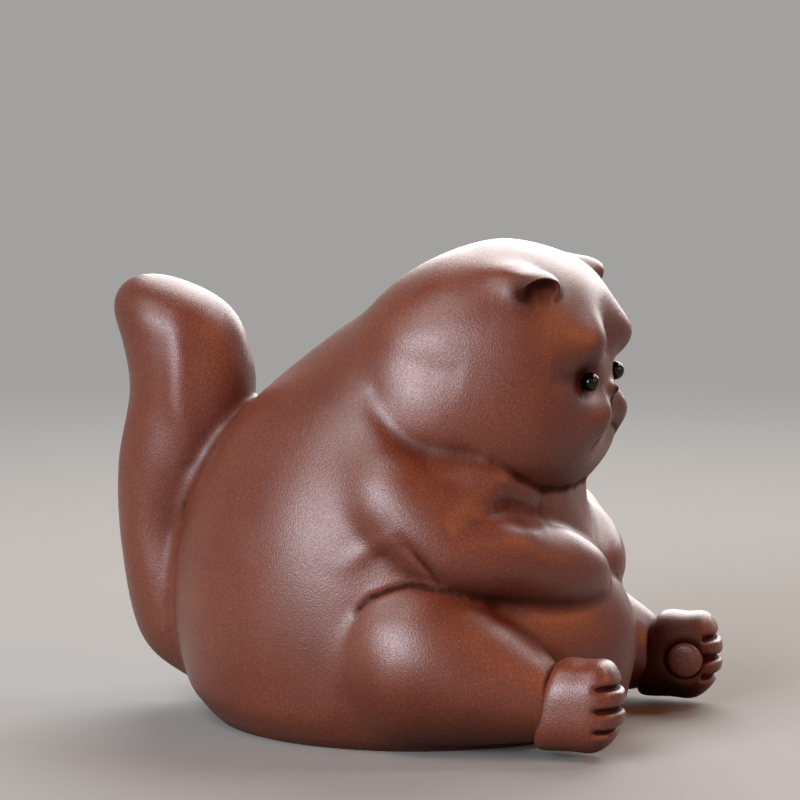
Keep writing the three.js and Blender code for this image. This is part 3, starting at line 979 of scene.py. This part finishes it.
def base_plate():
    """The slab that closes the hollow from below, with a vent through it and softened edges."""
    wall = torso_form("plate_wall", TORSO_WALL + SLIP_JOINT)
    tree = skin_tree(wall)
    ease = BASE_EDGE / BASE_THICKNESS
    corner = [(0, ease), (0.3 * ease, 0.3 * ease), (ease, 0)]
    inner = [(BASE_EDGE_LEAN * out, rise) for out, rise in corner]
    outer = [(1 - out, rise) for out, rise in inner]
    profile = inner + outer[::-1]
    profile += [(out, 1 - rise) for out, rise in reversed(profile)]
    shape = bmesh.new()
    rim = [shape.verts.new((1 + out, 0, rise * BASE_THICKNESS)) for out, rise in profile]
    turn_round(shape, rim, rim[1:] + rim[:1], steps=96)
    for vertex in shape.verts:
        towards = unit(np.array((vertex.co.x, vertex.co.y, 0)))
        share = math.hypot(vertex.co.x, vertex.co.y) - 1
        edge = np.linalg.norm(on_skin(tree, (0, 0, vertex.co.z), towards)[:2])
        vertex.co.xy = (VENT_RADIUS + share * (edge - VENT_RADIUS)) * towards[:2]
    bmesh.ops.recalc_face_normals(shape, faces=shape.faces)
    plate = piece_of("base_plate_clay", shape)
    shade(plate)
    discard(wall)
    return plate


def painted_shade(piece):
    """How much painted shade each spot of the skin gets, in creases, at the darkened spots and
    underneath; it stands partly for tea too.
    """
    darkened = SPOT_SHADE * near(read_points(piece), *DARKENED_SPOTS)
    underside = np.clip(-read_normals(piece)[:, 2], 0, 1)
    return np.maximum(hollowness(piece, rounds=6), darkened) + UNDERSIDE_SHADE * underside


def spots_of(piece):
    """A tree to find the spot of the piece that is nearest to a point."""
    points = read_points(piece)
    tree = KDTree(len(points))
    for index, spot in enumerate(points):
        tree.insert(spot, index)
    tree.balance()
    return tree


def keep_painted_shade(piece, tree, shade_amount):
    """Gives every spot of a cut piece the painted shade of the nearest spot before the cuts."""
    values = [shade_amount[tree.find(spot)[1]] for spot in read_points(piece)]
    piece.data.attributes.new("painted_shade", "FLOAT", "POINT").data.foreach_set("value", values)


def free(node, *cores):
    """Cuts the piece that stands for a node out of the skin, and leaves the cores whole."""
    cutter = grown(forms[node], "cutter", CUT_ROOM)
    for core in cores:
        cut(cutter, core)
    piece = copied(skin, f"{node}_clay")
    cut(piece, cutter, "INTERSECT")
    cut(skin, cutter)
    discard(cutter)
    pieces[node] = piece


def set_foot(side_name, hand):
    """A foot on its ankle, with the button set into its sole."""
    middle = foot_middle(hand, LEG_REACH[side_name])
    foot = foot_form(f"foot_{side_name}_clay", hand, middle)
    # The inward-facing sole gets more painted shade.
    sole = np.clip(-hand * read_normals(foot)[:, 0], 0, 1)
    spots, shade_amount = spots_of(foot), painted_shade(foot) + SOLE_SHADE * sole
    ankle = grown(forms[f"leg_{side_name}"], "ankle", -ANKLE_SINK)
    seat = sole_pad("seat", hand, middle, SOLE_PAD_GAP)
    for cutter in (ankle, torso_core, ground, seat):
        cut(foot, cutter)
    discard(ankle, seat)
    keep_painted_shade(foot, spots, shade_amount)
    pieces[f"foot_{side_name}"] = foot
    pieces[f"sole_pad_{side_name}"] = sole_pad(f"sole_pad_{side_name}_clay", hand, middle)


def set_eye(side_name, hand):
    """A bead in its socket in the head."""
    start = (hand * EYE_SPACING / 2, HEAD_MIDDLE[1], HEAD_MIDDLE[2] - EYE_DROP)
    middle = on_skin(head_tree, start, FORWARDS) + EYE_STAND * FORWARDS
    socket = bead("socket", middle, EYE_RADIUS + EYE_SOCKET_GAP)
    cut(pieces["head"], socket)
    discard(socket)
    pieces[f"eye_{side_name}"] = bead(f"eye_{side_name}_bead", middle, EYE_RADIUS)


def drop_crumbs(piece):
    """Takes away the crumbs that the cuts left beside the piece."""
    shape = bmesh.new()
    shape.from_mesh(piece.data)
    left = set(shape.verts)
    while left:
        edge_of_island = [left.pop()]
        island = list(edge_of_island)
        while edge_of_island:
            spot = edge_of_island.pop()
            found = {edge.other_vert(spot) for edge in spot.link_edges} & left
            left -= found
            edge_of_island += found
            island += found
        if len(island) < CRUMB:
            bmesh.ops.delete(shape, geom=island, context="VERTS")
    shape.to_mesh(piece.data)
    shape.free()


def hide_joints(piece):
    """Gives the piece the whole skin's shading, so that the cut joints don't show."""
    shade(piece)
    work(
        piece,
        "DATA_TRANSFER",
        object=whole_skin,
        use_loop_data=True,
        data_types_loops={"CUSTOM_NORMAL"},
        loop_mapping="POLYINTERP_NEAREST",
        use_max_distance=True,
        max_distance=JOINT_REACH,
    )


def linear(colour):
    """An sRGB hex colour as linear red, green and blue, with full alpha."""
    channels = [int(colour[i:i + 2], 16) / 255 for i in (1, 3, 5)]
    return [c / 12.92 if c <= 0.04045 else ((c + 0.055) / 1.055) ** 2.4 for c in channels] + [1]


def add(tree, kind, inputs, **settings):
    """A node with its settings and its inputs, each a value or another node's output."""
    node = tree.nodes.new(kind)
    for name, value in settings.items():
        setattr(node, name, value)
    for key, value in inputs.items():
        if isinstance(value, bpy.types.NodeSocket):
            tree.links.new(value, node.inputs[key])
        else:
            node.inputs[key].default_value = value
    return node.outputs


def new_material(name):
    material = bpy.data.materials.new(name)
    material.use_nodes = True
    material.node_tree.nodes.clear()
    return material, material.node_tree


def per_metre(size):
    """The scale of a pattern whose features are so many millimetres wide."""
    return 1 / (size * MM)


SPAN = ("Value", "From Min", "From Max", "To Min", "To Max")  # the inputs of a Map Range node


def specks(tree, place, spacing, radius, share):
    """Round specks of a radius, in millimetres, in a share of the cells that are a spacing wide."""
    scale = {"Vector": place, "Scale": per_metre(spacing)}
    cells = add(tree, "ShaderNodeTexVoronoi", scale)
    edge = (cells["Distance"], 0.7 * radius / spacing, 1.3 * radius / spacing, 1, 0)
    spot = add(tree, "ShaderNodeMapRange", dict(zip(SPAN, edge)))["Result"]
    lot = add(tree, "ShaderNodeSeparateColor", {"Color": cells["Color"]})["Red"]
    chosen = add(tree, "ShaderNodeMath", {0: lot, 1: share}, operation="LESS_THAN")["Value"]
    return add(tree, "ShaderNodeMath", {0: spot, 1: chosen}, operation="MULTIPLY")["Value"]


def burnished_stoneware():
    """Red-brown clay rubbed to a satin sheen, with sand in it, and dark with painted shade, partly
    tea, in its creases and underneath.

    The clay's grain and sand are about half as wide as they are drawn here, which would be too fine
    to show in the render.
    """
    material, tree = new_material("burnished_zisha_stoneware")
    place = add(tree, "ShaderNodeTexCoord", {})["Object"]
    cloud, grain, rub = (
        add(
            tree,
            "ShaderNodeTexNoise",
            {"Vector": place, "Scale": per_metre(width), "Detail": detail},
        )["Fac"]
        for width, detail in ((16, 4), (0.22, 1), (5, 1))
    )
    shade_amount = add(tree, "ShaderNodeAttribute", {}, attribute_name="painted_shade")["Fac"]
    spans = {  # a pattern's low and high value, and what they become
        "clouded": (cloud, 0.35, 0.65, 0, 1),
        "grained": (grain, 0.4, 0.6, 0, 0.6),
        "darkened": (shade_amount, 0.05, 0.5, 0, 0.8),
        "rubbed": (rub, 0.3, 0.7, 0.36, 0.44),
        "pitted": (grain, 0.3, 0.7, -0.04, 0.05),
        "unrubbed": (shade_amount, 0.1, 0.5, 0, 0.35),
        "shine": (shade_amount, 0.1, 0.5, 0.5, 0.1),
        "sheen": (shade_amount, 0.05, 0.3, 0.2, 0),
    }
    amount = {
        name: add(tree, "ShaderNodeMapRange", dict(zip(SPAN, span)))["Result"]
        for name, span in spans.items()
    }
    # The last layer darkens the clay towards #240d08 by the attribute: painted shade in creases,
    # underneath, on the soles, round the beads and in the ears, partly standing for tea.
    colour = linear("#6b2e18")
    for share, tint in (
        (amount["clouded"], "#7c3b23"),
        (amount["grained"], "#4a1b0f"),
        (specks(tree, place, spacing=0.4, radius=0.07, share=0.8), "#8f5236"),
        (specks(tree, place, spacing=0.9, radius=0.08, share=0.5), "#3c1a13"),
        (amount["darkened"], "#240d08"),
    ):
        layer = {"Fac": share, "Color1": colour, "Color2": linear(tint)}
        colour = add(tree, "ShaderNodeMixRGB", layer)["Color"]
    rough = amount["rubbed"]
    for more in ("pitted", "unrubbed"):
        rough = {0: rough, 1: amount[more]}
        rough = add(tree, "ShaderNodeMath", rough, operation="ADD")["Value"]
    pits = {"Height": grain, "Strength": 0.8, "Distance": 0.05 * MM}
    pits = add(tree, "ShaderNodeBump", pits)["Normal"]
    felt = {"Height": rub, "Normal": pits, "Strength": 0.3, "Distance": 0.12 * MM}
    shader = add(
        tree,
        "ShaderNodeBsdfPrincipled",
        {
            "Base Color": colour,
            "Roughness": rough,
            "IOR": 1.58,
            "Specular IOR Level": amount["shine"],
            "Normal": add(tree, "ShaderNodeBump", felt)["Normal"],
            "Coat Weight": amount["sheen"],
            "Coat Roughness": 0.36,
        },
    )
    add(tree, "ShaderNodeOutputMaterial", {"Surface": shader["BSDF"]})
    return material


def gritty_clay():
    """The same clay as it came from the board: matt, a little paler, with grit one would feel."""
    material, tree = new_material("gritty_base_clay")
    place = add(tree, "ShaderNodeTexCoord", {})["Object"]
    cloud, grit = (
        add(
            tree,
            "ShaderNodeTexNoise",
            {"Vector": place, "Scale": per_metre(width), "Detail": 4},
        )["Fac"]
        for width in (9, 0.6)
    )
    spans = (cloud, 0.35, 0.65, 0, 1), (grit, 0.4, 0.7, 0, 0.6), (grit, 0.3, 0.7, 0.7, 0.9)
    clouded, gritted, rough = (
        add(tree, "ShaderNodeMapRange", dict(zip(SPAN, span)))["Result"] for span in spans
    )
    colour = linear("#7b442f")
    for share, tint in (
        (clouded, "#8d5238"),
        (gritted, "#5e2f20"),
        (specks(tree, place, spacing=0.9, radius=0.12, share=0.4), "#c08c58"),
    ):
        layer = {"Fac": share, "Color1": colour, "Color2": linear(tint)}
        colour = add(tree, "ShaderNodeMixRGB", layer)["Color"]
    bumps = {"Height": grit, "Strength": 0.6, "Distance": 0.1 * MM}
    bumps = add(tree, "ShaderNodeBump", bumps)["Normal"]
    clay = {"Base Color": colour, "Roughness": rough, "Normal": bumps}
    shader = add(tree, "ShaderNodeBsdfPrincipled", clay)
    add(tree, "ShaderNodeOutputMaterial", {"Surface": shader["BSDF"]})
    return material


def black_glass():
    """Polished bead glass, nearly black, with a faint brown swirl and a breath of haze on it."""
    material, tree = new_material("black_bead_glass")
    place = add(tree, "ShaderNodeTexCoord", {})["Object"]
    swirl = {"Vector": place, "Scale": per_metre(1.2), "Detail": 2, "Distortion": 1.5}
    swirl = add(tree, "ShaderNodeTexNoise", swirl)["Fac"]
    colour = {"Fac": swirl, "Color1": linear("#050404"), "Color2": linear("#120c09")}
    haze = dict(zip(SPAN, (swirl, 0.3, 0.7, 0.04, 0.1)))
    glass = {
        "Base Color": add(tree, "ShaderNodeMixRGB", colour)["Color"],
        "Roughness": add(tree, "ShaderNodeMapRange", haze)["Result"],
        "IOR": 1.38,
    }
    shader = add(tree, "ShaderNodeBsdfPrincipled", glass)
    add(tree, "ShaderNodeOutputMaterial", {"Surface": shader["BSDF"]})
    return material


def fit_to_solids():
    """The matrix that brings the pieces to metres and into the box of the solids."""
    points = np.vstack([read_points(piece) for piece in pieces.values()])
    low, high = points.min(0) * MM, points.max(0) * MM
    box_low, box_high = np.array(solid_low), np.array(solid_high)
    scale = (box_high - box_low) / (high - low)
    place = box_low - low * scale
    return Matrix.Translation(place) @ Matrix.Diagonal((*(scale * MM), 1))


def finish_pieces():
    """Brings each piece to its place, gives it its material, hangs it on the root and hides its
    node's solid.
    """
    slots = {
        "stoneware": burnished_stoneware(),
        "base_clay": gritty_clay(),
        "bead_glass": black_glass(),
    }
    fit = fit_to_solids()
    for node, piece in pieces.items():
        slot = "stoneware"
        if node == "base_plate":
            slot = "base_clay"
        elif node.startswith("eye"):
            slot = "bead_glass"
        piece.data.transform(fit)
        piece.data.materials.clear()
        piece.data.materials.append(slots[slot])
        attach(piece, "root")
        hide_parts(node)


def place_camera():
    data = bpy.data.cameras.new("camera")
    camera = bpy.data.objects.new("camera", data)
    bpy.context.collection.objects.link(camera)
    data.sensor_width = SENSOR_WIDTH
    data.lens = SENSOR_WIDTH * FOCAL_PIXELS / IMAGE_PIXELS
    data.clip_start = NEAREST_SEEN
    level = math.cos(CAMERA_PITCH)
    look = Vector(
        (level * math.cos(CAMERA_TURN), level * math.sin(CAMERA_TURN), -math.sin(CAMERA_PITCH))
    )
    turn = look.to_track_quat("-Z", "Y")
    rise = turn @ Vector((0, ORIGIN_BELOW_CENTRE / FOCAL_PIXELS * CAMERA_DISTANCE, 0))
    camera.location = rise - CAMERA_DISTANCE * look
    camera.rotation_mode = "QUATERNION"
    camera.rotation_quaternion = turn
    bpy.context.scene.camera = camera


def area_light(name, turn, height, distance, size, power, colour):
    """A softbox that faces the cat, from so many degrees round and up."""
    turn, height = math.radians(turn), math.radians(height)
    level = math.cos(height)
    way = Vector((level * math.cos(turn), level * math.sin(turn), math.sin(height)))
    data = bpy.data.lights.new(name, "AREA")
    data.shape = "RECTANGLE"
    data.size, data.size_y = size
    data.energy = power
    data.color = linear(colour)[:3]
    light = bpy.data.objects.new(name, data)
    bpy.context.collection.objects.link(light)
    light.location = LIGHT_AIM + distance * way
    light.rotation_mode = "QUATERNION"
    light.rotation_quaternion = (-way).to_track_quat("-Z", "Y")
    light.visible_camera = False


def pale_paper():
    """Matt paper that the eye and the glass see as pale, and that throws little light on the clay.

    It is even in tone away from the cat.
    """
    material, tree = new_material("pale_paper")
    path = add(tree, "ShaderNodeLightPath", {})
    seen = path["Is Camera Ray"]
    for ray in ("Is Glossy Ray", "Is Transmission Ray"):
        seen = {0: seen, 1: path[ray]}
        seen = add(tree, "ShaderNodeMath", seen, operation="MAXIMUM")["Value"]
    place = add(tree, "ShaderNodeTexCoord", {})["Object"]
    away = add(tree, "ShaderNodeVectorMath", {0: place}, operation="LENGTH")["Value"]
    even = dict(zip(SPAN, (away, *PAPER_EVEN, 0, 1)))
    even = add(tree, "ShaderNodeMapRange", even, interpolation_type="SMOOTHSTEP")["Result"]
    dim = add(tree, "ShaderNodeBsdfDiffuse", {"Color": linear("#1d1813")})["BSDF"]
    lit = add(tree, "ShaderNodeBsdfDiffuse", {"Color": linear("#a5a29e")})["BSDF"]
    unlit = add(tree, "ShaderNodeEmission", {"Color": linear("#a2a19f")})["Emission"]
    pale = add(tree, "ShaderNodeMixShader", {"Fac": even, 1: lit, 2: unlit})["Shader"]
    paper = add(tree, "ShaderNodeMixShader", {"Fac": seen, 1: dim, 2: pale})["Shader"]
    add(tree, "ShaderNodeOutputMaterial", {"Surface": paper})
    return material


def sweep():
    """A round floor that curves up into a wall on every side."""
    shape = bmesh.new()
    profile = [(0, 0), (FLOOR_RADIUS, 0)]
    for step in range(1, WALL_STEPS + 1):
        angle = math.pi / 2 * step / WALL_STEPS
        out = FLOOR_RADIUS + WALL_CURVE * math.sin(angle)
        profile.append((out, WALL_CURVE * (1 - math.cos(angle))))
    profile.append((FLOOR_RADIUS + WALL_CURVE, WALL_HEIGHT))
    rim = [shape.verts.new((out, 0, rise)) for out, rise in profile]
    turn_round(shape, rim, rim[1:], steps=96)
    bmesh.ops.remove_doubles(shape, verts=shape.verts, dist=1e-5)
    bmesh.ops.recalc_face_normals(shape, faces=shape.faces)
    floor = piece_of("floor", shape)
    floor.data.shade_smooth()
    floor.data.materials.append(pale_paper())


def studio():
    """The paper sweep, the lamps and a faint sky."""
    sweep()
    world = bpy.data.worlds.new("studio")
    world.use_nodes = True
    tree = world.node_tree
    tree.nodes.clear()
    faint = {"Color": linear("#dfe1e3"), "Strength": 0.008}
    sky = add(tree, "ShaderNodeBackground", faint)["Background"]
    add(tree, "ShaderNodeOutputWorld", {"Surface": sky})
    bpy.context.scene.world = world
    for light in LIGHTS:
        area_light(*light)
    bpy.context.scene.view_settings.view_transform = "Standard"


# The forms, strung on their spines
torso = body_form()
torso_tree = skin_tree(torso)
head = head_form()
head_tree = skin_tree(head)
forms = {"torso": torso, "head": head, "tail": tail_form(torso_tree)}
for side_name, hand in HANDS.items():
    reach = LEG_REACH[side_name]
    forms[f"ear_{side_name}"] = ear_form(f"ear_{side_name}_form", hand, head_tree)
    forms[f"arm_{side_name}"] = arm_form(f"arm_{side_name}_form", hand, torso_tree)
    forms[f"leg_{side_name}"] = leg_form(f"leg_{side_name}_form", hand, reach, torso_tree)

# One skin over all of them, wiped and worked
skin = joined("skin", forms.values())
work(skin, "REMESH", mode="VOXEL", voxel_size=SKIN_GRAIN, use_smooth_shade=True)
for hand in HANDS.values():
    scoop = ear_scoop(hand, head_tree)
    cut(skin, scoop)
    discard(scoop)
blend_skin()
work_body()
deepen_creases()
refine_skin()
work_folds()
work_face()
ease_bottom()
ground = block("ground", (-FAR, -FAR, -FAR), (FAR, FAR, 0))
cut(skin, ground)

# The pieces, cut apart at the joints, with the beads, the feet and the base set in
whole_skin = copied(skin, "whole_skin")
whole_skin.data.shade_smooth()
# The painted shade of the whole skin, taken before it is cut apart.
whole_spots, whole_painted_shade = spots_of(whole_skin), painted_shade(whole_skin)
torso_core = grown(torso, "torso_core", -CORE_DEPTH)
head_core = grown(head, "head_core", -CORE_DEPTH)
pieces = {}
for side_name, hand in HANDS.items():
    free(f"ear_{side_name}", head_core)
    low_x, high_x = sorted((0, -hand * FAR))
    other_half = block("other_half", (low_x, -FAR, -FAR), (high_x, FAR, FAR))
    free(f"arm_{side_name}", torso_core, head_core, other_half)
    discard(other_half)
    free(f"leg_{side_name}", torso_core)
    set_foot(side_name, hand)
free("tail", torso_core)
free("head", torso_core)
hollow = torso_form("hollow", TORSO_WALL)
cut(skin, hollow)
skin.name = "torso_clay"
pieces["torso"] = skin
for side_name, hand in HANDS.items():
    set_eye(side_name, hand)
discard(ground, torso_core, head_core, hollow, *forms.values())
for node, piece in pieces.items():
    if node.startswith("foot"):
        shade(piece)
    elif not node.startswith(("sole_pad", "eye")):
        drop_crumbs(piece)
        keep_painted_shade(piece, whole_spots, whole_painted_shade)
        hide_joints(piece)
discard(whole_skin)
pieces["base_plate"] = base_plate()
finish_pieces()

place_camera()
studio()
